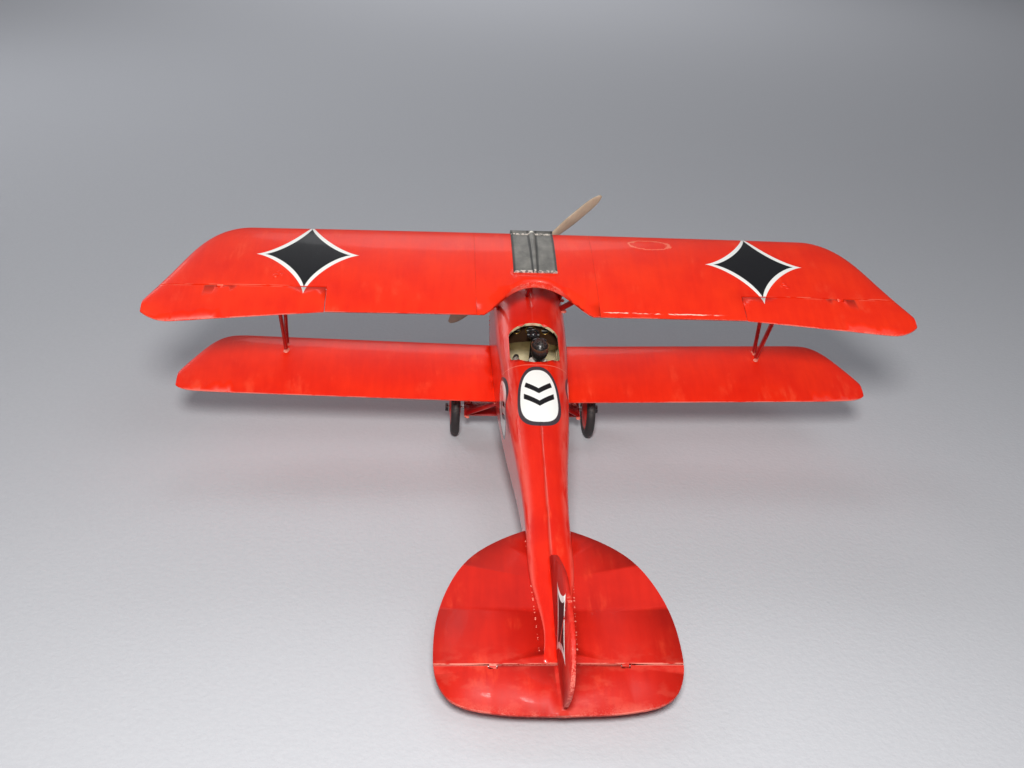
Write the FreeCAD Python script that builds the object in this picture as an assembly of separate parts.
"""Display model of a single-seat biplane of 1917 with V interplane struts, to 1/48 scale.

Every sub-part is one solid (or a group of like solids) in its own STEP file.

The sub-parts are laid out about a flight datum: X is to the pilot's left, the station runs aft from the
upper wing's leading edge, and Z is up from the upper wing's chord plane. The last step turns the model
nose-up by its ground stance and sets its wheels and tail skid on Z = 0, with the nose towards -Y and the
origin under the middle of its bounding box. All sizes are in millimetres and degrees.
"""
import FreeCAD, Part
import math
import os

V = FreeCAD.Vector
SIDE_AXIS = V(1, 0, 0)
AFT_AXIS = V(0, 1, 0)
UP_AXIS = V(0, 0, 1)

# ---------------------------------------------------------------------------- driving dimensions
GROUND_STANCE = 15.0            # nose-up angle at which the model rests on wheels and skid

# upper wing
UPPER_HALF_SPAN = 94.3
UPPER_CHORD = 33.9
UPPER_CROWN = 1.9               # top surface above the chord plane
UPPER_BELLY = 0.75              # underside below the chord plane
UPPER_DROOP = 0.3               # the tip lies this much below the centre
CENTRE_HALF_WIDTH = 15.0        # joint between centre section and outer panel
CUTOUT_HALF_WIDTH = 13.2        # arch in the trailing edge above the cockpit
CUTOUT_DEPTH = 11.8
TRAILING_EDGE = 0.34            # thickness of the wings' trailing edges

# lower wing
LOWER_HALF_SPAN = 91.6
LOWER_CHORD = 22.7
LOWER_STATION = 6.4             # leading edge, aft of the upper wing's
LOWER_HEIGHT = -32.9            # chord plane at the root
LOWER_RISE = 2.4                # dihedral, as the height that the tip gains
LOWER_CROWN = 1.35
LOWER_BELLY = 0.6

# ailerons
AILERON_INNER_END = 51.0
AILERON_HINGE = 0.761           # share of the wing's chord ahead of the hinge
AILERON_LUG_FROM_TIP = 18.0
LUG_WIDTH = 1.4
LUG_REACH = 0.45                # how far a hinge lug stands aft of the hinge axis
LUG_GAP = 0.4                   # from the lug's end to the bottom of its notch

# hinges
HINGE_SLOT_AHEAD = 0.25         # from the hinge axis to the fixed surface
HINGE_SLOT_BEHIND = 0.10        # from the hinge axis to the moving surface
HINGE_END_GAP = 0.20
PIN_RADIUS = 0.15
PIN_CLEARANCE = 0.03
PIN_GRIP = 1.8                  # length of pin that is held at each side of a hinge gap

# fuselage
WALL = 0.8
FUSELAGE_HALF_WIDTH = 9.1
NOSE_STATION = -13.0
TAIL_STATION = 118.8
HOLLOW_END = 101.0
DECK_CROWN_AHEAD = -10.5        # deck's crown ahead of the cockpit, where the radiator pipe stands
# station, half width and belly's half width as shares, deck crown, top of side, belly, corner radius
FUSELAGE_SECTIONS = [
    (NOSE_STATION, 0.70, 0.70, -13.9, -19.5, -26.2, 5.0),
    (-8.0, 0.90, 0.91, -12.2, -18.0, -29.5, 4.2),
    (2.0, 0.99, 1.04, -11.0, -17.0, -33.0, 3.2),
    (13.0, 1.00, 1.03, DECK_CROWN_AHEAD, -16.5, -34.9, 2.2),
    (26.0, 0.98, 0.96, -10.7, -16.5, -35.3, 1.8),
    (40.0, 0.90, 0.86, -11.1, -16.6, -34.0, 1.6),
    (55.0, 0.79, 0.735, -12.1, -16.8, -31.1, 1.4),
    (70.0, 0.63, 0.58, -13.6, -17.2, -28.2, 1.2),
    (85.0, 0.54, 0.50, -15.1, -17.7, -25.4, 1.0),
    (101.0, 0.475, 0.44, -16.6, -18.1, -22.8, 0.8),
    (TAIL_STATION, 0.405, 0.39, -18.3, -18.7, -20.6, 0.5),
]

# cockpit opening in the deck
COCKPIT_FRONT = 23.5
COCKPIT_REAR = 37.7
COCKPIT_HALF_WIDTH = 6.2
COCKPIT_CORNER = 2.0
COCKPIT_FRONT_BOW = 3.0
COCKPIT_REAR_BOW = 1.3

# cockpit interior
FLOOR_HEIGHT = -31.5
FLOOR_THICKNESS = 0.8
FIREWALL_STATION = 9.0
FORMER_THICKNESS = 0.8
PANEL_STATION = 20.6
PANEL_BOTTOM = -18.5
SEAT_STATION = 39.4             # front face of the seat back
SEAT_HEIGHT = -27.2             # top of the seat pan
SEAT_HALF_WIDTH = 4.6
SEAT_BACK_TOP = -16.5
SEAT_SHELL = 0.7
SEAT_PAN_LENGTH = 7.0
SEAT_FOOT_INSET = 1.5           # the pedestal stands in from the pan's front and rear edges
COLUMN_STATION = 26.5
COLUMN_TOP = -12.1
COLUMN_RAKE = 1.5               # the stick's foot is this far ahead of its grip
COLUMN_RADIUS = 0.45
COLUMN_BASE_RADIUS = 1.4
COLUMN_BASE_HEIGHT = 1.6
COLUMN_BASE_TOP_RADIUS = 0.5
GRIP_HALF_WIDTH = 1.5
GRIP_THICKNESS = 1.5
GRIP_BOSS_RADIUS = 1.15
PEDAL_STATION = 16.5
PEDAL_HALF_WIDTH = 4.4
PEDAL_HALF_DEPTH = 0.5
PEDAL_CLEARANCE = 0.9           # underside of the foot bar above the floor
PEDAL_TOP = 1.6                 # top of the foot bar above the floor
PEDAL_POST_RADIUS = 0.6

# pilot
HEAD_OFFSET = -1.0              # the head leans to the pilot's right
HEAD_STATION = 34.0
HEAD_HEIGHT = -10.7
HEAD_WIDTH = 4.5
HEAD_LENGTH = 5.1
HEAD_TALL = 6.0
SHOULDER_HEIGHT = -16.0
SHOULDER_HALF_WIDTH = 4.7
ARM_RADIUS = 1.0
LEFT_ARM = [(3.4, 35.6, -17.2), (4.4, 32.6, -17.4), (4.1, 28.6, -17.9)]
RIGHT_ARM = [(-3.4, 35.6, -17.6), (-4.7, 32.8, -22.4), (-1.2, 27.6, -22.6)]
HIP_AHEAD = 2.6                 # middle of the torso ahead of the seat back
HIP_OFFSET = 1.9
HIP_RISE = 1.5                  # middle of the thigh above the seat pan
THIGH_LENGTH = 9.0
THIGH_RADIUS = 1.35
KNEE_OFFSET = 2.9
KNEE_RISE = 2.2
SHIN_RADIUS = 1.05
FOOT_OFFSET = 3.0
FOOT_AFT = 2.2                  # ankle behind the foot bar and above the floor
FOOT_RISE = 1.3
NECK_RADIUS = 1.5
NECK_SINK = 0.4                 # neck behind the head's middle, and how far it runs into the head

# engine
SHAFT_HEIGHT = -20.0
CRANKCASE_FRONT = -9.6
CRANKCASE_LENGTH = 17.6
CRANKCASE_HALF_WIDTH = 2.4
CRANKCASE_TOP = -15.4
CRANKCASE_BOTTOM = -22.0
CYLINDER_COUNT = 6
CYLINDER_RADIUS = 1.2
CYLINDER_PITCH = 2.8
CYLINDER_TOP = -8.2
EXHAUST_RADIUS = 0.75
EXHAUST_OFFSET = 7.4
EXHAUST_HEIGHT = -12.6
EXHAUST_TURN_OUT = 1.6          # how far the pipe's end turns outwards, aft and down
EXHAUST_TURN_AFT = 0.7
EXHAUST_TURN_DOWN = 1.9
EXHAUST_FRONT_OVERHANG = 0.8    # pipe ahead of the first cylinder's middle
EXHAUST_REAR_GAP = 0.2          # from the bend to the last cylinder's middle
STUB_RADIUS = 0.4
STUB_RISE = 1.0
CAMSHAFT_HALF_WIDTH = 0.55
CAMSHAFT_HEIGHT = 0.9
BEARER_SIZE = 1.1
ENGINE_BAY_MARGIN = 0.5

# guns
GUN_OFFSET = 4.3
GUN_HEIGHT = -9.9
GUN_JACKET_RADIUS = 0.7
GUN_MUZZLE = -12.6
GUN_BREECH = 6.6
GUN_RECEIVER_LENGTH = 8.6
GUN_RECEIVER_WIDTH = 1.3
GUN_RECEIVER_HEIGHT = 2.1
GUN_JACKET_SEAT = 0.5           # length of jacket inside the receiver
GUN_FLARE_RADIUS = 0.95
GUN_FLARE_NECK = 0.6
GUN_FLARE_LENGTH = 1.4
GUN_CRANK_AHEAD = 2.4           # of the breech
GUN_CRANK_LENGTH = 1.3
GUN_CRANK_RADIUS = 0.35
GUN_POST_RADIUS = 0.45
GUN_POST_LENGTH = 4.0
GUN_POST_AHEAD = 3.5            # front post, ahead of the receiver
GUN_POST_FROM_BREECH = 3.0

# propeller and spinner
PROPELLER_STATION = -15.9
PROPELLER_RADIUS = 30.3
PROPELLER_ANGLE = 41.5          # the upper blade leans this much from upright, to the pilot's right
PROPELLER_PITCH = 62.0
HUB_RADIUS = 2.1
HUB_LENGTH = 3.4
SPINNER_RADIUS = 6.0
SPINNER_TIP = -21.2
SPINNER_PLATE = 0.7
SPINNER_WALL = 0.6
SHAFT_RADIUS = 0.8
SHAFT_CLEARANCE = 0.05
BUSH_RADIUS = 1.7
BUSH_LENGTH = 2.2
COLLAR_RADIUS = 1.5
COLLAR_LENGTH = 0.9
COLLAR_GAP = 0.3

# radiator in the upper wing
RADIATOR_HALF_WIDTH = 5.5
RADIATOR_LENGTH = 19.0
RADIATOR_PROUD = 0.35
RADIATOR_LIP = 0.9
PIPE_RADIUS = 0.45
PIPE_OFFSET = 0.9
PIPE_FOOT_STATION = 11.5
PIPE_TOP_STATION = 18.4

# struts
STRUT_CHORD = 1.7
STRUT_THICKNESS = 1.0
INTERPLANE_OFFSET = 64.2
INTERPLANE_FOOT = 11.2
INTERPLANE_FOOT_SPREAD = 1.8
INTERPLANE_FRONT_TOP = 5.2
INTERPLANE_REAR_TOP = 21.2
CABANE_FOOT_OFFSET = 7.8
CABANE_FOOT_HEIGHT = -15.6
CABANE_FOOT_STATION = 10.4
CABANE_FOOT_SPREAD = 2.4
CABANE_TOP_OFFSET = 12.6
CABANE_FRONT_TOP = 4.0
CABANE_REAR_TOP = 25.0

# landing gear
WHEEL_RADIUS = 7.9
WHEEL_OFFSET = 18.6
TYRE_WIDTH = 2.4
TYRE_HEIGHT = 2.5
AXLE_STATION = 17.2
AXLE_HEIGHT = -46.2
AXLE_RADIUS = 0.6
HUB_CLEARANCE = 0.06
WHEEL_HUB_HALF_LENGTH = 1.6
WHEEL_HUB_RADIUS = 1.3
WHEEL_RIM_HALF_WIDTH = 0.7
WHEEL_SIDE_GAP = 0.25
AXLE_CAP_RADIUS = 1.1
AXLE_CAP_LENGTH = 0.8
FAIRING_CHORD = 6.6
FAIRING_THICKNESS = 1.5
GEAR_LEG_OFFSET = 15.6
GEAR_FRONT_FOOT = -1.6          # from the axle, fore and aft
GEAR_REAR_FOOT = 2.5
GEAR_FRONT_TOP = 6.0
GEAR_REAR_TOP = 29.0
GEAR_TOP_OFFSET = 7.2
GEAR_LEG_CHORD = 1.6
GEAR_LEG_THICKNESS = 0.9

# tail
TAIL_HEIGHT = -18.9             # middle of the tailplane's thickness
TAIL_SHEET = 0.86               # thickness of tailplane, elevator, fin and rudder
TAIL_HALF_SPAN = 24.6
TAIL_FRONT = 85.4
TAIL_REAR = 130.4
ELEVATOR_HINGE = 119.3
ELEVATOR_UP = 10.0              # limit that the rudder's sloping foot leaves room for
ELEVATOR_LUG_OFFSET = 13.0
RIDGE_HALF_WIDTH = 2.3
RIDGE_HEIGHT = 0.25
RIDGE_SINK = 0.2
RIDGE_STOP = 1.0                # from the ridge's end to the trailing edge
FIN_FRONT = 94.6
RUDDER_HINGE = 118.3
FIN_TOP = 1.7
RUDDER_REAR = 132.6
RUDDER_FOOT_GAP = 0.20
RUDDER_FOOT_MARGIN = 2.0
RUDDER_LUG_HEIGHTS = (-13.6, -3.6)
VENTRAL_FRONT = 108.0
VENTRAL_DEPTH = 3.4

# tail skid
SKID_ROOT_STATION = 100.5
SKID_SHOE_STATION = 110.5
SKID_RADIUS = 0.6
SHOE_LENGTH = 3.2
SHOE_WIDTH = 2.2
SHOE_THICKNESS = 0.5

FAR = 400.0                     # longer than anything in the model, for cutting tools


# ---------------------------------------------------------------------------- shared shapes
def block(low, high):
    """Box between two corners."""
    size = V(*high) - V(*low)
    return Part.makeBox(size.x, size.y, size.z, V(*low))


def rod(start, end, radius):
    """Round bar between two points."""
    start = V(*start)
    axis = V(*end) - start
    return Part.makeCylinder(radius, axis.Length, start, axis)


def faired_bar(start, end, chord, thickness):
    """Bar of elliptical section with its long axis fore and aft."""
    start = V(*start)
    span = V(*end) - start
    ellipse = Part.Ellipse(V(0, 0, 0), chord / 2, thickness / 2)
    face = Part.Face(Part.Wire(ellipse.toShape()))
    face.rotate(V(0, 0, 0), UP_AXIS, 90)
    bar = face.extrude(V(0, 0, span.Length))
    across = AFT_AXIS.cross(span).normalize()
    aft = span.cross(across).normalize()
    turn = FreeCAD.Rotation(across, aft, span, "ZYX")
    bar.Placement = FreeCAD.Placement(start, turn)
    return bar


def mirrored(shape):
    """The same piece on the pilot's right."""
    return shape.mirror(V(0, 0, 0), SIDE_AXIS)


def spline(points, closed=False):
    """Smooth edge through points."""
    curve = Part.BSplineCurve()
    curve.interpolate([V(*point) for point in points], PeriodicFlag=closed)
    return curve.toShape()


def bezier(points):
    """Edge that starts and ends at the first and last points and is drawn towards those between."""
    curve = Part.BezierCurve()
    curve.setPoles([V(*point) for point in points])
    return curve.toShape()


def line(start, end):
    """Straight edge."""
    return Part.makeLine(V(*start), V(*end))


def sheet(edges, push):
    """Flat sheet with the outline that the edges enclose, pushed out by a vector."""
    face = Part.Face(Part.Wire(edges))
    return face.extrude(V(*push))


def lofted(wires, ruled=False):
    """Solid skinned over closed sections."""
    return Part.makeLoft(wires, True, ruled)


def only_solid(shape):
    """The largest solid of a cut shape, free of crumbs."""
    return max(shape.Solids, key=lambda solid: solid.Volume)


def probe(solid, x, station):
    """Lowest and highest point of a solid on an upright line."""
    needle = line((x, station, -FAR), (x, station, FAR))
    box = solid.common(needle).BoundBox
    return box.ZMin, box.ZMax


def ground_height(station):
    """Height of the ground line under a station: it touches the tyres and rises aft by the stance."""
    stance = math.radians(GROUND_STANCE)
    run = (station - AXLE_STATION) * math.sin(stance)
    return AXLE_HEIGHT + (run - WHEEL_RADIUS) / math.cos(stance)


# ---------------------------------------------------------------------------- wings
# distance in from the tip, leading edge and trailing edge as shares of chord, thickness as a share
UPPER_TIP_SECTIONS = [
    (22.3, 0.000, 1.077, 0.88),
    (18.0, 0.028, 1.093, 0.80),
    (14.3, 0.103, 1.108, 0.72),
    (9.3, 0.324, 1.127, 0.60),
    (5.8, 0.575, 1.126, 0.50),
    (3.0, 0.767, 1.090, 0.42),
    (0.8, 0.915, 1.035, 0.34),
]
LOWER_TIP_SECTIONS = [
    (16.6, 0.000, 1.000, 0.90),
    (12.6, 0.018, 1.000, 0.80),
    (9.0, 0.110, 0.997, 0.70),
    (6.2, 0.265, 0.993, 0.62),
    (3.2, 0.490, 0.975, 0.52),
    (0.8, 0.700, 0.915, 0.40),
]


def wing_section(x, front, rear, height, crown, belly):
    """Cambered section with a round nose and a thin trailing edge."""
    chord = rear - front
    edge = TRAILING_EDGE / 2
    top = [(0, 0), (0, crown), (0.30, 1.45 * crown), (0.65, 0.85 * crown + edge), (1, edge)]
    under = [(1, -edge), (0.65, -0.5 * belly - edge), (0.30, -1.45 * belly), (0, -belly), (0, 0)]
    upper_side = bezier([(x, front + share * chord, height + z) for share, z in top])
    under_side = bezier([(x, front + share * chord, height + z) for share, z in under])
    rear_edge = line((x, rear, height + edge), (x, rear, height - edge))
    return Part.Wire([upper_side, rear_edge, under_side])


def wing_panel(root_x, half_span, stretches, tip, station, chord, crown, belly, root_height, tip_height):
    """Left outer panel: straight stretches of constant leading edge, then a smooth rounded tip."""
    def section(x, front, rear, fullness):
        height = root_height + (tip_height - root_height) * (x - root_x) / (half_span - root_x)
        return wing_section(x, station + front * chord, station + rear * chord, height,
                            crown * fullness, belly * fullness)
    straight = [section(*stretch) for stretch in stretches]
    rounded = [section(half_span - inset, front, rear, fullness) for inset, front, rear, fullness in tip]
    inboard = lofted(straight + rounded[:1], ruled=True)
    return inboard.fuse(lofted(rounded)).removeSplitter()


def upper_panel():
    """Left outer panel of the upper wing before the aileron is cut from it."""
    stretches = [
        (CENTRE_HALF_WIDTH, 0.0, 1.0, 1.0),
        (AILERON_INNER_END, 0.0, 1.0, 1.0),
    ]
    return wing_panel(CENTRE_HALF_WIDTH, UPPER_HALF_SPAN, stretches, UPPER_TIP_SECTIONS, 0.0, UPPER_CHORD,
                      UPPER_CROWN, UPPER_BELLY, 0.0, -UPPER_DROOP)


def lower_panel(fuselage):
    """Left lower wing, shaped to the fuselage side at its root."""
    root = FUSELAGE_HALF_WIDTH - 2 * WALL
    panel = wing_panel(root, LOWER_HALF_SPAN, [(root, 0.0, 1.0, 1.0)], LOWER_TIP_SECTIONS, LOWER_STATION,
                       LOWER_CHORD, LOWER_CROWN, LOWER_BELLY, LOWER_HEIGHT, LOWER_HEIGHT + LOWER_RISE)
    return only_solid(panel.cut(fuselage))


def hinge_line(panel, inner_x, outer_x, station):
    """Two points on the middle of a panel's thickness."""
    points = []
    for x in (inner_x, outer_x):
        low, high = probe(panel, x, station)
        points.append(V(x, station, (low + high) / 2))
    return points


def along(start, end, x):
    """Point on a line at a given X."""
    share = (x - start.x) / (end.x - start.x)
    return start + (end - start) * share


def split_aileron(panel):
    """Wing panel, aileron, hinge pins and hinge axis, cut from one outer panel."""
    station = AILERON_HINGE * UPPER_CHORD
    lug_x = UPPER_HALF_SPAN - AILERON_LUG_FROM_TIP
    inner, outer = hinge_line(panel, AILERON_INNER_END + PIN_GRIP, lug_x, station)
    front = station + HINGE_SLOT_BEHIND
    region = block((AILERON_INNER_END + HINGE_END_GAP, front, -FAR), (FAR, FAR, FAR))
    slot = block((AILERON_INNER_END, station - HINGE_SLOT_AHEAD, -FAR), (FAR, FAR, FAR))
    lug_reach = station + LUG_REACH
    lug_box = block((lug_x - LUG_WIDTH / 2, station - 2 * HINGE_SLOT_AHEAD, -FAR),
                    (lug_x + LUG_WIDTH / 2, lug_reach, FAR))
    notch = block((lug_x - LUG_WIDTH / 2 - HINGE_END_GAP, station - FAR, -FAR),
                  (lug_x + LUG_WIDTH / 2 + HINGE_END_GAP, lug_reach + LUG_GAP, FAR))
    lug = panel.common(lug_box)
    wing = only_solid(panel.cut(slot)).fuse(lug)
    aileron = only_solid(panel.common(region).cut(notch))
    ends = [
        (AILERON_INNER_END - PIN_GRIP, AILERON_INNER_END + PIN_GRIP),
        (lug_x - LUG_WIDTH / 2 - PIN_GRIP, lug_x + LUG_WIDTH / 2 + PIN_GRIP),
    ]
    pins = []
    for low, high in ends:
        pin_start = along(inner, outer, low)
        pin_end = along(inner, outer, high)
        pins.append(rod(pin_start, pin_end, PIN_RADIUS))
        aileron = aileron.cut(rod(pin_start, pin_end, PIN_RADIUS + PIN_CLEARANCE))
        wing = wing.cut(pins[-1])
    return only_solid(wing), only_solid(aileron), pins, (inner, outer)


def cutout_tool():
    """Prism of the bell-shaped arch in the upper wing's trailing edge."""
    apex = UPPER_CHORD - CUTOUT_DEPTH
    low = -2 * UPPER_CROWN
    shares = [(-1.0, 1.0), (-0.66, 0.53), (-0.33, 0.13), (0.0, 0.0), (0.33, 0.13), (0.66, 0.53), (1.0, 1.0)]
    arch = spline([(x * CUTOUT_HALF_WIDTH, apex + depth * CUTOUT_DEPTH, low) for x, depth in shares])
    right = (-CUTOUT_HALF_WIDTH, UPPER_CHORD, low)
    left = (CUTOUT_HALF_WIDTH, UPPER_CHORD, low)
    outer_right = (right[0], UPPER_CHORD + 1, low)
    outer_left = (left[0], UPPER_CHORD + 1, low)
    edges = [arch, line(left, outer_left), line(outer_left, outer_right), line(outer_right, right)]
    return sheet(edges, (0, 0, -4 * low))


def centre_section():
    """Upper wing's centre with its cut-out, before the radiator's bay is cut."""
    sections = [wing_section(x, 0.0, UPPER_CHORD, 0.0, UPPER_CROWN, UPPER_BELLY)
                for x in (-CENTRE_HALF_WIDTH, CENTRE_HALF_WIDTH)]
    return only_solid(lofted(sections, ruled=True).cut(cutout_tool()))


def radiator_bay():
    """Space that the radiator takes through the whole thickness of the centre section."""
    return block((-RADIATOR_HALF_WIDTH, -FAR, -FAR), (RADIATOR_HALF_WIDTH, RADIATOR_LENGTH, FAR))


def radiator():
    """Radiator that follows the wing's section, a little proud of it, with a lip along its front."""
    proud = [wing_section(x, -RADIATOR_PROUD, UPPER_CHORD, 0.0, UPPER_CROWN + RADIATOR_PROUD,
                          UPPER_BELLY + RADIATOR_PROUD)
             for x in (-RADIATOR_HALF_WIDTH, RADIATOR_HALF_WIDTH)]
    body = lofted(proud, ruled=True).common(radiator_bay())
    lip_height = UPPER_CROWN / 2
    lip = rod((-RADIATOR_HALF_WIDTH, RADIATOR_LIP, lip_height), (RADIATOR_HALF_WIDTH, RADIATOR_LIP, lip_height),
              RADIATOR_LIP)
    return only_solid(body.fuse(lip).removeSplitter())


# ---------------------------------------------------------------------------- fuselage
def half_section(station, half_width, low_width, crown, shoulder, belly, corner):
    """Left half of a slab-sided section with a round deck and rounded lower corners."""
    round_in = 0.448 * corner
    drop = 0.552 * (crown - shoulder)
    deck = bezier([(0, station, crown), (0.552 * half_width, station, crown),
                   (half_width, station, shoulder + drop), (half_width, station, shoulder)])
    side = line((half_width, station, shoulder), (low_width, station, belly + corner))
    bilge = bezier([(low_width, station, belly + corner), (low_width, station, belly + round_in),
                    (low_width - round_in, station, belly), (low_width - corner, station, belly)])
    keel = line((low_width - corner, station, belly), (0, station, belly))
    middle = line((0, station, belly), (0, station, crown))
    return Part.Wire([deck, side, bilge, keel, middle])


def fuselage_half(inset):
    """Left half of the fuselage's outer form, or of a form set in from it by a wall."""
    wires = []
    for station, share, low_share, crown, shoulder, belly, corner in FUSELAGE_SECTIONS:
        if inset and station > HOLLOW_END:
            continue
        wires.append(half_section(station, share * FUSELAGE_HALF_WIDTH - inset,
                                  low_share * FUSELAGE_HALF_WIDTH - inset, crown - inset, shoulder,
                                  belly + inset, max(corner - inset / 2, inset / 2)))
    return lofted(wires)


def whole(half):
    """Both halves as one tool."""
    return half.fuse(mirrored(half)).removeSplitter()


def cockpit_tool():
    """Prism of the cockpit opening: bowed front and rear edges, with rounded rear corners."""
    low = -20.0
    front = COCKPIT_FRONT + COCKPIT_FRONT_BOW
    rear = COCKPIT_REAR - COCKPIT_REAR_BOW
    wide = COCKPIT_HALF_WIDTH
    corner = COCKPIT_CORNER
    front_pull = COCKPIT_FRONT - COCKPIT_FRONT_BOW / 3
    rear_pull = COCKPIT_REAR + COCKPIT_REAR_BOW / 3
    edges = [
        bezier([(-wide, front, low), (-0.8 * wide, front_pull, low), (0.8 * wide, front_pull, low),
                (wide, front, low)]),
        line((wide, front, low), (wide, rear - corner, low)),
        bezier([(wide, rear - corner, low), (wide, rear, low), (wide - corner, rear, low)]),
        bezier([(wide - corner, rear, low), (0, 2 * rear_pull - rear, low), (corner - wide, rear, low)]),
        bezier([(corner - wide, rear, low), (-wide, rear, low), (-wide, rear - corner, low)]),
        line((-wide, rear - corner, low), (-wide, front, low)),
    ]
    return sheet(edges, (0, 0, FAR))


def engine_bay_tool():
    """Slot in the deck that the cylinders stand through."""
    half = CYLINDER_RADIUS + ENGINE_BAY_MARGIN
    front = CRANKCASE_FRONT - ENGINE_BAY_MARGIN
    rear = CRANKCASE_FRONT + CRANKCASE_LENGTH + ENGINE_BAY_MARGIN
    return block((-half, front, CRANKCASE_TOP - 1), (half, rear, FAR))


def fuselage_shell(outer_half, inner_half):
    """Left half shell with the cockpit and engine openings."""
    shell = outer_half.cut(inner_half)
    shell = shell.cut(cockpit_tool())
    shell = shell.cut(engine_bay_tool())
    return only_solid(shell)


def former(cavity, station, thickness):
    """Plate that fills the fuselage's hollow at one station."""
    return only_solid(cavity.common(block((-FAR, station, -FAR), (FAR, station + thickness, FAR))))


def nose_bulkhead(cavity):
    """Front plate with the seat of the shaft's bush."""
    plate = former(cavity, NOSE_STATION, BUSH_LENGTH)
    front = (0, NOSE_STATION - 1, SHAFT_HEIGHT)
    rear = (0, NOSE_STATION + BUSH_LENGTH + 1, SHAFT_HEIGHT)
    return only_solid(plate.cut(rod(front, rear, BUSH_RADIUS)))


def shaft_bush():
    """Plain bearing of the propeller shaft."""
    start = (0, NOSE_STATION, SHAFT_HEIGHT)
    end = (0, NOSE_STATION + BUSH_LENGTH, SHAFT_HEIGHT)
    return rod(start, end, BUSH_RADIUS).cut(rod(start, end, SHAFT_RADIUS + SHAFT_CLEARANCE))


def instrument_panel(cavity):
    """Board under the front rim of the cockpit, arched at its lower edge."""
    board = former(cavity, PANEL_STATION, FORMER_THICKNESS)
    arch = rod((0, PANEL_STATION - 1, PANEL_BOTTOM - 2 * FUSELAGE_HALF_WIDTH),
               (0, PANEL_STATION + 2, PANEL_BOTTOM - 2 * FUSELAGE_HALF_WIDTH), 2 * FUSELAGE_HALF_WIDTH)
    below = block((-FAR, PANEL_STATION - 1, -FAR), (FAR, PANEL_STATION + 2, PANEL_BOTTOM - 3))
    return only_solid(board.cut(arch).cut(below))


def cockpit_floor(cavity):
    """Floor from the firewall to behind the seat."""
    low = (-FAR, FIREWALL_STATION + FORMER_THICKNESS, FLOOR_HEIGHT - FLOOR_THICKNESS)
    high = (FAR, SEAT_STATION + 3, FLOOR_HEIGHT)
    return only_solid(cavity.common(block(low, high)))


def seat(cavity):
    """Seat pan on a pedestal, with a back that reaches the deck's sides."""
    pan_front = SEAT_STATION - SEAT_PAN_LENGTH
    pan_bottom = SEAT_HEIGHT - SEAT_SHELL
    back_rear = SEAT_STATION + SEAT_SHELL
    half = SEAT_HALF_WIDTH
    pan = block((-half, pan_front, pan_bottom), (half, back_rear, SEAT_HEIGHT))
    back = block((-half, SEAT_STATION, pan_bottom), (half, back_rear, SEAT_BACK_TOP))
    pedestal = block((-half / 2, pan_front + SEAT_FOOT_INSET, FLOOR_HEIGHT),
                     (half / 2, back_rear - SEAT_FOOT_INSET, pan_bottom))
    return only_solid(pan.fuse([back, pedestal]).common(cavity).removeSplitter())


def control_column():
    """Upright stick with a two-handled grip."""
    foot_station = COLUMN_STATION - COLUMN_RAKE
    top = (0, COLUMN_STATION, COLUMN_TOP)
    stick = rod((0, foot_station, FLOOR_HEIGHT + COLUMN_RADIUS), top, COLUMN_RADIUS)
    grip = faired_bar((-GRIP_HALF_WIDTH, COLUMN_STATION, COLUMN_TOP),
                      (GRIP_HALF_WIDTH, COLUMN_STATION, COLUMN_TOP), GRIP_THICKNESS, GRIP_THICKNESS)
    boss = Part.makeSphere(GRIP_BOSS_RADIUS, V(*top))
    base = Part.makeCone(COLUMN_BASE_RADIUS, COLUMN_BASE_TOP_RADIUS, COLUMN_BASE_HEIGHT,
                         V(0, foot_station, FLOOR_HEIGHT))
    return stick.fuse([grip, boss, base]).removeSplitter()


def rudder_bar():
    """Foot bar on a low pivot post."""
    top = FLOOR_HEIGHT + PEDAL_TOP
    post = rod((0, PEDAL_STATION, FLOOR_HEIGHT), (0, PEDAL_STATION, top), PEDAL_POST_RADIUS)
    bar = block((-PEDAL_HALF_WIDTH, PEDAL_STATION - PEDAL_HALF_DEPTH, FLOOR_HEIGHT + PEDAL_CLEARANCE),
                (PEDAL_HALF_WIDTH, PEDAL_STATION + PEDAL_HALF_DEPTH, top))
    return post.fuse(bar).removeSplitter()


# ---------------------------------------------------------------------------- pilot
def oval(x, station, height, half_width, half_length):
    """Level oval section."""
    if half_width > half_length:
        curve = Part.Ellipse(V(x, station, height), half_width, half_length)
        return Part.Wire(curve.toShape())
    curve = Part.Ellipse(V(0, 0, 0), half_length, half_width)
    wire = Part.Wire(curve.toShape())
    wire.rotate(V(0, 0, 0), UP_AXIS, 90)
    wire.translate(V(x, station, height))
    return wire


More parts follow.
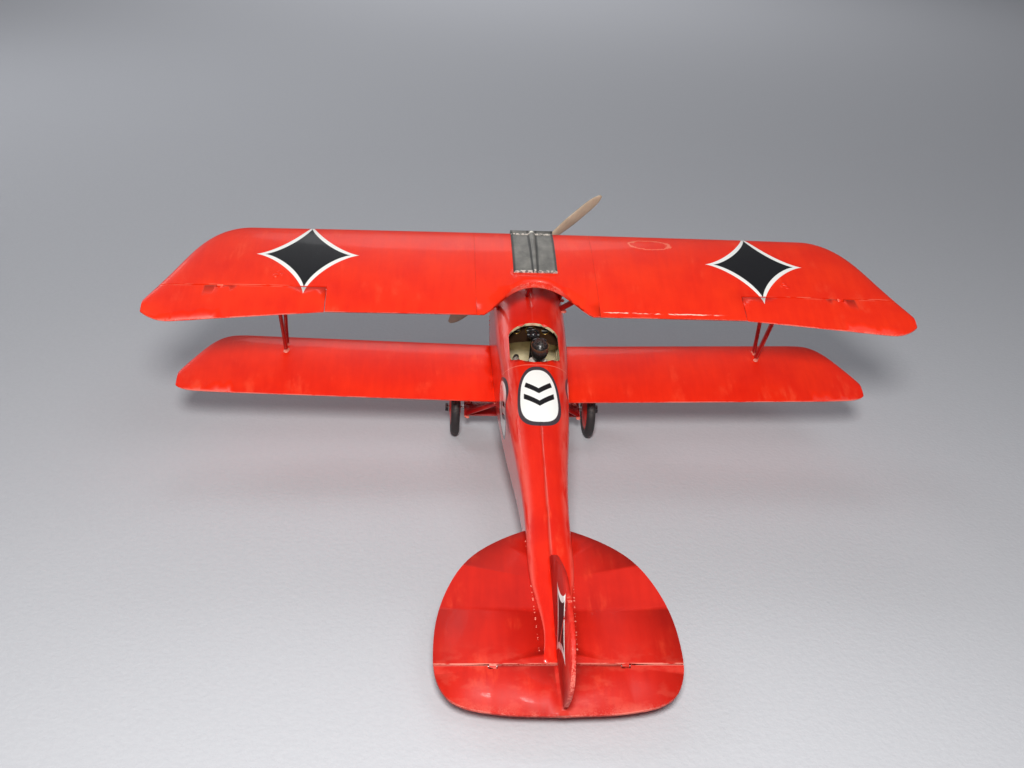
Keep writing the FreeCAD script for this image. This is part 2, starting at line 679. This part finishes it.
def pilot_body():
    """Seated figure to the base of the neck, with legs to the foot bar."""
    hip = SEAT_STATION - HIP_AHEAD
    hip_height = SEAT_HEIGHT
    torso = lofted([
        oval(0, hip, hip_height, 3.4, 2.3),
        oval(0, hip - 0.3, hip_height + 4.5, 3.3, 2.1),
        oval(0, hip - 1.0, SHOULDER_HEIGHT - 2.0, 4.2, 2.2),
        oval(HEAD_OFFSET * 0.5, hip - 1.4, SHOULDER_HEIGHT, SHOULDER_HALF_WIDTH - 0.9, 1.7),
    ])
    neck_station = HEAD_STATION + NECK_SINK
    neck_top = HEAD_HEIGHT - HEAD_TALL / 2 + NECK_SINK
    neck = rod((HEAD_OFFSET, neck_station, SHOULDER_HEIGHT - 1.0), (HEAD_OFFSET, neck_station, neck_top), NECK_RADIUS)
    legs = []
    for side in (-1, 1):
        knee = (side * KNEE_OFFSET, hip - THIGH_LENGTH, hip_height + KNEE_RISE)
        ankle = (side * FOOT_OFFSET, PEDAL_STATION + FOOT_AFT, FLOOR_HEIGHT + FOOT_RISE)
        legs.append(rod((side * HIP_OFFSET, hip, hip_height + HIP_RISE), knee, THIGH_RADIUS))
        legs.append(rod(knee, ankle, SHIN_RADIUS))
        legs.append(Part.makeSphere(THIGH_RADIUS, V(*knee)))
    arms = []
    for path in (LEFT_ARM, RIGHT_ARM):
        for start, end in zip(path, path[1:]):
            arms.append(rod(start, end, ARM_RADIUS))
            arms.append(Part.makeSphere(ARM_RADIUS, V(*end)))
    return only_solid(torso.fuse([neck] + legs + arms).removeSplitter())


def pilot_head():
    """Head in its helmet, as a plain ovoid."""
    ball = Part.makeSphere(1.0)
    stretch = FreeCAD.Matrix()
    stretch.scale(HEAD_WIDTH / 2, HEAD_LENGTH / 2, HEAD_TALL / 2)
    ovoid = ball.transformGeometry(stretch)
    ovoid.translate(V(HEAD_OFFSET, HEAD_STATION, HEAD_HEIGHT))
    return only_solid(ovoid)


# ---------------------------------------------------------------------------- engine and guns
def engine_bearers():
    """Two rails from the bulkhead to the firewall that carry the crankcase."""
    front = NOSE_STATION + BUSH_LENGTH
    rails = []
    for side in (-1, 1):
        inner = side * CRANKCASE_HALF_WIDTH
        outer = side * (CRANKCASE_HALF_WIDTH + BEARER_SIZE)
        low = (min(inner, outer), front, SHAFT_HEIGHT - BEARER_SIZE / 2)
        high = (max(inner, outer), FIREWALL_STATION, SHAFT_HEIGHT + BEARER_SIZE / 2)
        rails.append(block(low, high))
    return Part.makeCompound(rails)


def crankcase():
    """Engine block with rounded lower edges."""
    rear = CRANKCASE_FRONT + CRANKCASE_LENGTH
    case = block((-CRANKCASE_HALF_WIDTH, CRANKCASE_FRONT, CRANKCASE_BOTTOM),
                 (CRANKCASE_HALF_WIDTH, rear, CRANKCASE_TOP))
    lower = [edge for edge in case.Edges
             if abs(edge.BoundBox.ZMax - CRANKCASE_BOTTOM) < 0.01 and edge.BoundBox.YLength > 1]
    return case.makeFillet(CRANKCASE_HALF_WIDTH / 2, lower)


def cylinder_stations():
    """Centres of the cylinders, evenly about the middle of the crankcase."""
    middle = CRANKCASE_FRONT + CRANKCASE_LENGTH / 2
    first = middle - CYLINDER_PITCH * (CYLINDER_COUNT - 1) / 2
    return [first + CYLINDER_PITCH * number for number in range(CYLINDER_COUNT)]


def cylinders():
    """Row of separate cylinders."""
    return Part.makeCompound([rod((0, station, CRANKCASE_TOP), (0, station, CYLINDER_TOP), CYLINDER_RADIUS)
                              for station in cylinder_stations()])


def camshaft_housing():
    """Bar that lies along the cylinder heads."""
    stations = cylinder_stations()
    return block((-CAMSHAFT_HALF_WIDTH, stations[0] - CYLINDER_RADIUS, CYLINDER_TOP),
                 (CAMSHAFT_HALF_WIDTH, stations[-1] + CYLINDER_RADIUS, CYLINDER_TOP + CAMSHAFT_HEIGHT))


def exhaust_manifold():
    """Collector pipe on the pilot's right with a stub from each cylinder and a turned-out end."""
    stations = cylinder_stations()
    start = (-EXHAUST_OFFSET, stations[0] - EXHAUST_FRONT_OVERHANG, EXHAUST_HEIGHT)
    bend = (-EXHAUST_OFFSET, stations[-1] - EXHAUST_REAR_GAP, EXHAUST_HEIGHT)
    end = (bend[0] - EXHAUST_TURN_OUT, bend[1] + EXHAUST_TURN_AFT, bend[2] - EXHAUST_TURN_DOWN)
    pieces = [rod(bend, end, EXHAUST_RADIUS), Part.makeSphere(EXHAUST_RADIUS, V(*bend))]
    for station in stations:
        port = (0, station, EXHAUST_HEIGHT + STUB_RISE)
        pieces.append(rod(port, (-EXHAUST_OFFSET, station, EXHAUST_HEIGHT), STUB_RADIUS))
    manifold = rod(start, bend, EXHAUST_RADIUS).fuse(pieces)
    for cylinder in cylinders().Solids:
        manifold = manifold.cut(cylinder)
    return only_solid(manifold.removeSplitter())


def gun():
    """Left machine gun: perforated jacket, receiver box and a mounting post that meets the deck."""
    receiver_front = GUN_BREECH - GUN_RECEIVER_LENGTH
    half_width = GUN_RECEIVER_WIDTH / 2
    half_height = GUN_RECEIVER_HEIGHT / 2
    crank_station = GUN_BREECH - GUN_CRANK_AHEAD
    muzzle = (GUN_OFFSET, GUN_MUZZLE, GUN_HEIGHT)
    jacket = rod(muzzle, (GUN_OFFSET, receiver_front + GUN_JACKET_SEAT, GUN_HEIGHT), GUN_JACKET_RADIUS)
    flare = Part.makeCone(GUN_FLARE_RADIUS, GUN_FLARE_NECK, GUN_FLARE_LENGTH, V(*muzzle), AFT_AXIS)
    receiver = block((GUN_OFFSET - half_width, receiver_front, GUN_HEIGHT - half_height),
                     (GUN_OFFSET + half_width, GUN_BREECH, GUN_HEIGHT + half_height))
    crank = rod((GUN_OFFSET, crank_station, GUN_HEIGHT),
                (GUN_OFFSET + GUN_CRANK_LENGTH, crank_station, GUN_HEIGHT), GUN_CRANK_RADIUS)
    posts = [rod((GUN_OFFSET, station, GUN_HEIGHT - GUN_POST_LENGTH), (GUN_OFFSET, station, GUN_HEIGHT),
                 GUN_POST_RADIUS)
             for station in (receiver_front - GUN_POST_AHEAD, GUN_BREECH - GUN_POST_FROM_BREECH)]
    return jacket.fuse([flare, receiver, crank] + posts).removeSplitter()


# ---------------------------------------------------------------------------- propeller
# radius as a share, chord, thickness
BLADE_SECTIONS = [
    (0.05, 2.5, 2.1),
    (0.16, 2.8, 1.7),
    (0.38, 4.0, 1.2),
    (0.62, 4.5, 0.95),
    (0.84, 3.8, 0.7),
    (0.96, 2.3, 0.5),
    (1.00, 0.9, 0.35),
]


def blade():
    """Upright wooden blade whose angle falls towards the tip, as a constant pitch needs."""
    wires = []
    for share, chord, thickness in BLADE_SECTIONS:
        radius = share * PROPELLER_RADIUS
        angle = math.degrees(math.atan2(PROPELLER_PITCH, 2 * math.pi * radius))
        wire = Part.Wire(Part.Ellipse(V(0, 0, 0), chord / 2, thickness / 2).toShape())
        wire.rotate(V(0, 0, 0), UP_AXIS, min(angle, 60))
        wire.translate(V(0, 0, radius))
        wires.append(wire)
    return lofted(wires)


def propeller():
    """Two blades and a hub bored for the shaft."""
    hub = rod((0, -HUB_LENGTH / 2, 0), (0, HUB_LENGTH / 2, 0), HUB_RADIUS)
    opposite = blade()
    opposite.rotate(V(0, 0, 0), AFT_AXIS, 180)
    solid = hub.fuse([blade(), opposite])
    solid = solid.cut(rod((0, -HUB_LENGTH, 0), (0, HUB_LENGTH, 0), SHAFT_RADIUS))
    solid.rotate(V(0, 0, 0), AFT_AXIS, -PROPELLER_ANGLE)
    solid.translate(V(0, PROPELLER_STATION, SHAFT_HEIGHT))
    return only_solid(solid)


def spinner_rear():
    """Station of the spinner's open end."""
    return PROPELLER_STATION + HUB_LENGTH / 2


def spinner_form(radius, tip):
    """Round-nosed body of revolution about the shaft's line."""
    rear = spinner_rear()
    length = rear - tip
    profile = bezier([(0, tip, 0), (0.75 * radius, tip, 0), (radius, rear - 0.55 * length, 0),
                      (radius, rear, 0)])
    back = line((radius, rear, 0), (0, rear, 0))
    middle = line((0, rear, 0), (0, tip, 0))
    form = Part.Face(Part.Wire([profile, back, middle])).revolve(V(0, 0, 0), AFT_AXIS, 360)
    form.translate(V(0, 0, SHAFT_HEIGHT))
    return form


def spinner(airscrew):
    """Thin round cap, notched round the blades."""
    cap = spinner_form(SPINNER_RADIUS, SPINNER_TIP)
    hollow = spinner_form(SPINNER_RADIUS - SPINNER_WALL, SPINNER_TIP + SPINNER_WALL)
    return only_solid(cap.cut(hollow).cut(airscrew))


def spinner_plate():
    """Disc behind the spinner that the shaft passes through."""
    start = (0, spinner_rear(), SHAFT_HEIGHT)
    end = (0, spinner_rear() + SPINNER_PLATE, SHAFT_HEIGHT)
    return rod(start, end, SPINNER_RADIUS).cut(rod(start, end, SHAFT_RADIUS))


def collar_front():
    """Station of the collar's front face, behind the bush."""
    return NOSE_STATION + BUSH_LENGTH + COLLAR_GAP


def prop_shaft():
    """Steel pin from the hub's nose to the end of the collar."""
    front = (0, PROPELLER_STATION - HUB_LENGTH / 2, SHAFT_HEIGHT)
    rear = (0, collar_front() + COLLAR_LENGTH, SHAFT_HEIGHT)
    return rod(front, rear, SHAFT_RADIUS)


def shaft_collar():
    """Ring that keeps the shaft in its bush."""
    start = (0, collar_front(), SHAFT_HEIGHT)
    end = (0, collar_front() + COLLAR_LENGTH, SHAFT_HEIGHT)
    return rod(start, end, COLLAR_RADIUS).cut(rod(start, end, SHAFT_RADIUS))


# ---------------------------------------------------------------------------- struts and pipe
def interplane_strut(top_station, foot_shift, blockers):
    """One leg of the left V strut, trimmed to the wings it stands between."""
    foot = (INTERPLANE_OFFSET, INTERPLANE_FOOT + foot_shift, LOWER_HEIGHT + LOWER_RISE / 2)
    top = (INTERPLANE_OFFSET, top_station, 0.0)
    return trimmed(faired_bar(foot, top, STRUT_CHORD, STRUT_THICKNESS), blockers)


def cabane_strut(top_station, foot_shift, blockers):
    """Strut from the left deck edge to the upper wing's centre, trimmed to both."""
    foot = (CABANE_FOOT_OFFSET, CABANE_FOOT_STATION + foot_shift, CABANE_FOOT_HEIGHT)
    top = (CABANE_TOP_OFFSET, top_station, 0.0)
    return trimmed(faired_bar(foot, top, STRUT_CHORD, STRUT_THICKNESS), blockers)


def gear_leg(top_station, foot_shift, blockers):
    """Leg from the left lower edge of the fuselage to the end of the axle fairing."""
    bottom = (GEAR_LEG_OFFSET, AXLE_STATION + foot_shift, AXLE_HEIGHT)
    top = (GEAR_TOP_OFFSET, top_station, LOWER_HEIGHT)
    return trimmed(faired_bar(bottom, top, GEAR_LEG_CHORD, GEAR_LEG_THICKNESS), blockers)


def trimmed(bar, blockers):
    """A bar less what it runs into."""
    for blocker in blockers:
        bar = bar.cut(blocker)
    return only_solid(bar)


def radiator_pipe(blockers):
    """Water pipe from the deck up to the radiator's underside."""
    pipe = rod((PIPE_OFFSET, PIPE_FOOT_STATION, DECK_CROWN_AHEAD - 1.5),
               (PIPE_OFFSET / 2, PIPE_TOP_STATION, 0.0), PIPE_RADIUS)
    return trimmed(pipe, blockers)


# ---------------------------------------------------------------------------- landing gear
def turned_wheel_part(profile_face):
    """Body of revolution about the axle, at the left wheel."""
    solid = profile_face.revolve(V(0, 0, 0), SIDE_AXIS, 360)
    solid.translate(V(WHEEL_OFFSET, AXLE_STATION, AXLE_HEIGHT))
    return solid


def tyre():
    """Rubber ring of oval section."""
    middle = WHEEL_RADIUS - TYRE_HEIGHT / 2
    curve = Part.Ellipse(V(0, 0, 0), TYRE_HEIGHT / 2, TYRE_WIDTH / 2)
    wire = Part.Wire(curve.toShape())
    wire.rotate(V(0, 0, 0), SIDE_AXIS, 90)
    wire.rotate(V(0, 0, 0), AFT_AXIS, 90)
    wire.translate(V(0, 0, middle))
    return turned_wheel_part(Part.Face(wire))


def wheel_disc(rubber):
    """Covered wheel: coned discs about a hub that turns on the axle."""
    bore = AXLE_RADIUS + HUB_CLEARANCE
    rim = WHEEL_RADIUS - TYRE_HEIGHT / 2
    hub = WHEEL_HUB_HALF_LENGTH
    edge = WHEEL_RIM_HALF_WIDTH
    corners = [
        (-hub, 0, bore), (-hub, 0, WHEEL_HUB_RADIUS), (-edge, 0, rim),
        (edge, 0, rim), (hub, 0, WHEEL_HUB_RADIUS), (hub, 0, bore), (-hub, 0, bore),
    ]
    face = Part.Face(Part.makePolygon([V(*corner) for corner in corners]))
    return only_solid(turned_wheel_part(face).cut(rubber))


def axle_half_length():
    """From the middle to the end of the axle, which the caps are flush with."""
    return WHEEL_OFFSET + WHEEL_HUB_HALF_LENGTH + WHEEL_SIDE_GAP + AXLE_CAP_LENGTH


def axle():
    """Through axle of both wheels."""
    end = axle_half_length()
    return rod((-end, AXLE_STATION, AXLE_HEIGHT), (end, AXLE_STATION, AXLE_HEIGHT), AXLE_RADIUS)


def axle_caps(bar):
    """Two caps that keep the wheels on the axle."""
    caps = []
    for side in (-1, 1):
        outer = side * axle_half_length()
        inner = outer - side * AXLE_CAP_LENGTH
        cap = rod((inner, AXLE_STATION, AXLE_HEIGHT), (outer, AXLE_STATION, AXLE_HEIGHT), AXLE_CAP_RADIUS)
        caps.append(only_solid(cap.cut(bar)))
    return Part.makeCompound(caps)


def axle_fairing(bar):
    """Flat fairing round the middle of the axle."""
    end = GEAR_LEG_OFFSET + GEAR_LEG_THICKNESS / 2
    fairing = faired_bar((-end, AXLE_STATION, AXLE_HEIGHT), (end, AXLE_STATION, AXLE_HEIGHT), FAIRING_CHORD,
                         FAIRING_THICKNESS)
    return only_solid(fairing.cut(bar))


# ---------------------------------------------------------------------------- tail
def tail_outline():
    """Left half outline of tailplane and elevator, as an edge from front to rear."""
    half = TAIL_HALF_SPAN
    length = TAIL_REAR - TAIL_FRONT
    shares = [
        (0.20, 0.00), (0.43, 0.06), (0.70, 0.175), (0.875, 0.335), (0.975, 0.52), (1.0, 0.68),
        (0.975, 0.82), (0.87, 0.92), (0.62, 0.975), (0.35, 0.993), (0.0, 1.0),
    ]
    return [(x * half, TAIL_FRONT + share * length, TAIL_HEIGHT - TAIL_SHEET / 2) for x, share in shares]


def tail_sheet():
    """Whole horizontal tail as one flat sheet."""
    outline = tail_outline()
    start = (0, outline[0][1], outline[0][2])
    edges = [line(start, outline[0]), spline(outline), line(outline[-1], start)]
    half = sheet(edges, (0, 0, TAIL_SHEET))
    return half.fuse(mirrored(half)).removeSplitter()


def tailplane_and_elevator(fuselage):
    """Left tailplane, elevator, and the pins they share."""
    surface = tail_sheet()
    fixed_edge = ELEVATOR_HINGE - HINGE_SLOT_AHEAD
    moving_edge = ELEVATOR_HINGE + HINGE_SLOT_BEHIND
    lug_reach = ELEVATOR_HINGE + LUG_REACH
    elevator = surface.common(block((-FAR, moving_edge, -FAR), (FAR, FAR, FAR)))
    plane = surface.common(block((0, -FAR, -FAR), (FAR, fixed_edge, FAR))).cut(fuselage)
    top = TAIL_HEIGHT + TAIL_SHEET / 2
    low = top - RIDGE_SINK
    wires = []
    for wide, station in ((RIDGE_HALF_WIDTH, moving_edge), (RIDGE_HALF_WIDTH / 2, TAIL_REAR - RIDGE_STOP)):
        corners = [(-wide, station, low), (0, station, top + RIDGE_HEIGHT), (wide, station, low), (-wide, station, low)]
        wires.append(Part.makePolygon([V(*corner) for corner in corners]))
    elevator = elevator.fuse(lofted(wires, ruled=True))
    pins = []
    for side in (-1, 1):
        middle = side * ELEVATOR_LUG_OFFSET
        lug = surface.common(block((middle - LUG_WIDTH / 2, fixed_edge - 0.5, -FAR),
                                   (middle + LUG_WIDTH / 2, lug_reach, FAR)))
        notch = block((middle - LUG_WIDTH / 2 - HINGE_END_GAP, -FAR, -FAR),
                      (middle + LUG_WIDTH / 2 + HINGE_END_GAP, lug_reach + LUG_GAP, FAR))
        start = (middle - LUG_WIDTH / 2 - PIN_GRIP, ELEVATOR_HINGE, TAIL_HEIGHT)
        end = (middle + LUG_WIDTH / 2 + PIN_GRIP, ELEVATOR_HINGE, TAIL_HEIGHT)
        pin = rod(start, end, PIN_RADIUS)
        elevator = elevator.cut(notch).cut(rod(start, end, PIN_RADIUS + PIN_CLEARANCE))
        if side > 0:
            plane = plane.fuse(lug).cut(pin)
        pins.append(pin)
    return only_solid(plane.removeSplitter()), only_solid(elevator), pins


def fin_outline():
    """Outline of fin and rudder above the tail, from the fin's root to the rudder's foot."""
    tall = FIN_TOP - TAIL_HEIGHT
    length = RUDDER_REAR - FIN_FRONT
    shares = [
        (0.00, 0.14), (0.14, 0.47), (0.28, 0.68), (0.45, 0.89), (0.70, 1.0), (0.88, 0.955),
        (0.985, 0.76), (1.0, 0.53), (0.955, 0.22), (0.92, 0.0),
    ]
    return [(-TAIL_SHEET / 2, FIN_FRONT + along_share * length, TAIL_HEIGHT + share * tall)
            for along_share, share in shares]


def fin_sheet():
    """Fin and rudder as one upright sheet that runs down into the deck."""
    outline = fin_outline()
    low = TAIL_HEIGHT - 1.0
    front_low = (-TAIL_SHEET / 2, FIN_FRONT, low)
    rear_low = (-TAIL_SHEET / 2, outline[-1][1], low)
    edges = [spline(outline), line(outline[-1], rear_low), line(rear_low, front_low), line(front_low, outline[0])]
    return sheet(edges, (TAIL_SHEET, 0, 0))


def rudder_foot_tool():
    """Space under the rudder that the elevator needs at its upper limit."""
    hinge_top = TAIL_HEIGHT + TAIL_SHEET / 2 + RIDGE_HEIGHT + RUDDER_FOOT_GAP
    slope = math.tan(math.radians(ELEVATOR_UP + RUDDER_FOOT_MARGIN))
    reach = RUDDER_REAR + 5.0 - RUDDER_HINGE
    front = RUDDER_HINGE - 3.0
    corners = [
        (-5, front, -FAR), (-5, front, hinge_top), (-5, RUDDER_HINGE, hinge_top),
        (-5, RUDDER_HINGE + reach, hinge_top + reach * slope), (-5, RUDDER_HINGE + reach, -FAR),
        (-5, front, -FAR),
    ]
    face = Part.Face(Part.makePolygon([V(*corner) for corner in corners]))
    return face.extrude(V(10, 0, 0))


def fin_and_rudder(fuselage):
    """Fin, rudder and the pins they share."""
    surface = fin_sheet()
    fixed_edge = RUDDER_HINGE - HINGE_SLOT_AHEAD
    moving_edge = RUDDER_HINGE + HINGE_SLOT_BEHIND
    lug_reach = RUDDER_HINGE + LUG_REACH
    rudder = surface.common(block((-FAR, moving_edge, -FAR), (FAR, FAR, FAR))).cut(rudder_foot_tool())
    fin = surface.common(block((-FAR, -FAR, -FAR), (FAR, fixed_edge, FAR))).cut(fuselage)
    pins = []
    for middle in RUDDER_LUG_HEIGHTS:
        lug = surface.common(block((-FAR, fixed_edge - 0.5, middle - LUG_WIDTH / 2),
                                   (FAR, lug_reach, middle + LUG_WIDTH / 2)))
        notch = block((-FAR, -FAR, middle - LUG_WIDTH / 2 - HINGE_END_GAP),
                      (FAR, lug_reach + LUG_GAP, middle + LUG_WIDTH / 2 + HINGE_END_GAP))
        start = (0, RUDDER_HINGE, middle - LUG_WIDTH / 2 - PIN_GRIP)
        end = (0, RUDDER_HINGE, middle + LUG_WIDTH / 2 + PIN_GRIP)
        pin = rod(start, end, PIN_RADIUS)
        rudder = rudder.cut(notch).cut(rod(start, end, PIN_RADIUS + PIN_CLEARANCE))
        fin = fin.fuse(lug).cut(pin)
        pins.append(pin)
    return only_solid(fin.removeSplitter()), only_solid(rudder), pins


def ventral_fin(fuselage):
    """Small fin under the tail."""
    half = TAIL_SHEET / 2
    rear = TAIL_STATION
    root = TAIL_HEIGHT - 1.2
    edge = bezier([(-half, VENTRAL_FRONT, root),
                   (-half, VENTRAL_FRONT + 2.5, TAIL_HEIGHT - 2 - VENTRAL_DEPTH),
                   (-half, rear, TAIL_HEIGHT - 1 - VENTRAL_DEPTH), (-half, rear, root)])
    return only_solid(sheet([edge, line((-half, rear, root), (-half, VENTRAL_FRONT, root))],
                            (TAIL_SHEET, 0, 0)).cut(fuselage))


def tail_skid(fuselage):
    """Sprung-looking wooden skid with a flat shoe that lies on the ground."""
    shoe = Part.makeBox(SHOE_WIDTH, SHOE_LENGTH, SHOE_THICKNESS, V(-SHOE_WIDTH / 2, -SHOE_LENGTH / 2, 0))
    shoe.rotate(V(0, 0, 0), SIDE_AXIS, GROUND_STANCE)
    ground = ground_height(SKID_SHOE_STATION)
    shoe.translate(V(0, SKID_SHOE_STATION, ground))
    root_height = TAIL_HEIGHT - 2.0
    foot = (0, SKID_SHOE_STATION, ground + SHOE_THICKNESS)
    leg = rod((0, SKID_ROOT_STATION, root_height), foot, SKID_RADIUS)
    below = Part.makeBox(FAR, FAR, FAR, V(-FAR / 2, -FAR / 2, -FAR))
    below.rotate(V(0, 0, 0), SIDE_AXIS, GROUND_STANCE)
    below.translate(V(0, SKID_SHOE_STATION, ground))
    return only_solid(leg.cut(below).fuse(shoe).cut(fuselage).removeSplitter())


# ---------------------------------------------------------------------------- assembly
def build_model():
    """All sub-parts about the flight datum, by node name, and the aileron's hinge line."""
    parts = {}

    outer_half = fuselage_half(0.0)
    inner_half = fuselage_half(WALL)
    fuselage = whole(outer_half)
    cavity = whole(inner_half)
    shell = fuselage_shell(outer_half, inner_half)
    parts["fuselage_left"] = shell
    parts["fuselage_right"] = mirrored(shell)
    parts["nose_bulkhead"] = nose_bulkhead(cavity)
    parts["shaft_bush"] = shaft_bush()
    parts["firewall"] = former(cavity, FIREWALL_STATION, FORMER_THICKNESS)
    parts["instrument_panel"] = instrument_panel(cavity)
    parts["cockpit_floor"] = cockpit_floor(cavity)
    parts["seat"] = seat(cavity)
    parts["control_column"] = control_column()
    parts["rudder_bar"] = rudder_bar()
    parts["pilot_body"] = pilot_body()
    parts["pilot_head"] = pilot_head()
    parts["pilot_body"] = only_solid(parts["pilot_body"].cut(parts["pilot_head"]))

    parts["engine_bearers"] = engine_bearers()
    parts["crankcase"] = crankcase()
    parts["cylinders"] = cylinders()
    parts["camshaft_housing"] = camshaft_housing()
    parts["exhaust_manifold"] = only_solid(exhaust_manifold().cut(fuselage))
    left_gun = only_solid(gun().cut(fuselage))
    parts["gun_left"] = left_gun
    right_gun = mirrored(left_gun)
    parts["gun_right"] = only_solid(right_gun.cut(parts["exhaust_manifold"]))

    panel = upper_panel()
    wing, aileron, aileron_pins, hinge = split_aileron(panel)
    centre = centre_section()
    parts["upper_wing_left"] = wing
    parts["upper_wing_right"] = mirrored(wing)
    parts["aileron_left"] = aileron
    parts["aileron_right"] = mirrored(aileron)
    parts["upper_wing_centre"] = only_solid(centre.cut(radiator_bay()))
    parts["radiator"] = radiator()
    lower = lower_panel(fuselage)
    parts["lower_wing_left"] = lower
    parts["lower_wing_right"] = mirrored(lower)

    rear_interplane = interplane_strut(INTERPLANE_REAR_TOP, INTERPLANE_FOOT_SPREAD / 2, [panel, lower])
    front_interplane = interplane_strut(INTERPLANE_FRONT_TOP, -INTERPLANE_FOOT_SPREAD / 2,
                                        [panel, lower, rear_interplane])
    rear_cabane = cabane_strut(CABANE_REAR_TOP, CABANE_FOOT_SPREAD / 2, [centre, fuselage])
    front_cabane = cabane_strut(CABANE_FRONT_TOP, -CABANE_FOOT_SPREAD / 2, [centre, fuselage, rear_cabane])
    bar = axle()
    fairing = axle_fairing(bar)
    rear_gear = gear_leg(GEAR_REAR_TOP, GEAR_REAR_FOOT, [fuselage, lower, bar, fairing])
    front_gear = gear_leg(GEAR_FRONT_TOP, GEAR_FRONT_FOOT, [fuselage, lower, bar, fairing, rear_gear])
    struts = {
        "interplane_strut_front": front_interplane,
        "interplane_strut_rear": rear_interplane,
        "cabane_strut_front": front_cabane,
        "cabane_strut_rear": rear_cabane,
        "gear_leg_front": front_gear,
        "gear_leg_rear": rear_gear,
    }
    for name, strut in struts.items():
        parts[name + "_left"] = strut
        parts[name + "_right"] = mirrored(strut)
    parts["radiator_pipe"] = radiator_pipe([parts["radiator"], centre, fuselage])

    parts["axle"] = bar
    parts["axle_fairing"] = fairing
    parts["axle_caps"] = axle_caps(bar)
    rubber = tyre()
    disc = wheel_disc(rubber)
    parts["tyre_left"] = rubber
    parts["tyre_right"] = mirrored(rubber)
    parts["wheel_disc_left"] = disc
    parts["wheel_disc_right"] = mirrored(disc)

    plane, elevator, elevator_pins = tailplane_and_elevator(fuselage)
    fin, rudder, rudder_pins = fin_and_rudder(fuselage)
    parts["tailplane_left"] = plane
    parts["tailplane_right"] = mirrored(plane)
    parts["elevator"] = elevator
    parts["fin"] = fin
    parts["rudder"] = rudder
    parts["hinge_pins"] = Part.makeCompound(aileron_pins + [mirrored(pin) for pin in aileron_pins]
                                            + elevator_pins + rudder_pins)
    parts["ventral_fin"] = ventral_fin(fuselage)
    parts["tail_skid"] = tail_skid(fuselage)

    airscrew = propeller()
    parts["propeller"] = airscrew
    parts["spinner"] = spinner(airscrew)
    parts["spinner_plate"] = spinner_plate()
    parts["prop_shaft"] = prop_shaft()
    parts["shaft_collar"] = shaft_collar()
    return parts, hinge


def ground_placement(parts):
    """Turn to the ground stance, with the origin under the middle of the bounding box."""
    turn = FreeCAD.Placement(V(0, 0, 0), FreeCAD.Rotation(SIDE_AXIS, -GROUND_STANCE))
    box = FreeCAD.BoundBox()
    for shape in parts.values():
        turned = shape.copy()
        turned.Placement = turn.multiply(turned.Placement)
        box.add(turned.optimalBoundingBox(False))
    shift = V(-box.Center.x, -box.Center.y, -box.ZMin)
    return FreeCAD.Placement(shift, FreeCAD.Rotation(SIDE_AXIS, -GROUND_STANCE))


parts, aileron_hinge = build_model()
placement = ground_placement(parts)
os.makedirs("parts", exist_ok=True)
for node, shape in parts.items():
    shape.Placement = placement.multiply(shape.Placement)
    shape.exportStep("parts/" + node + ".step")
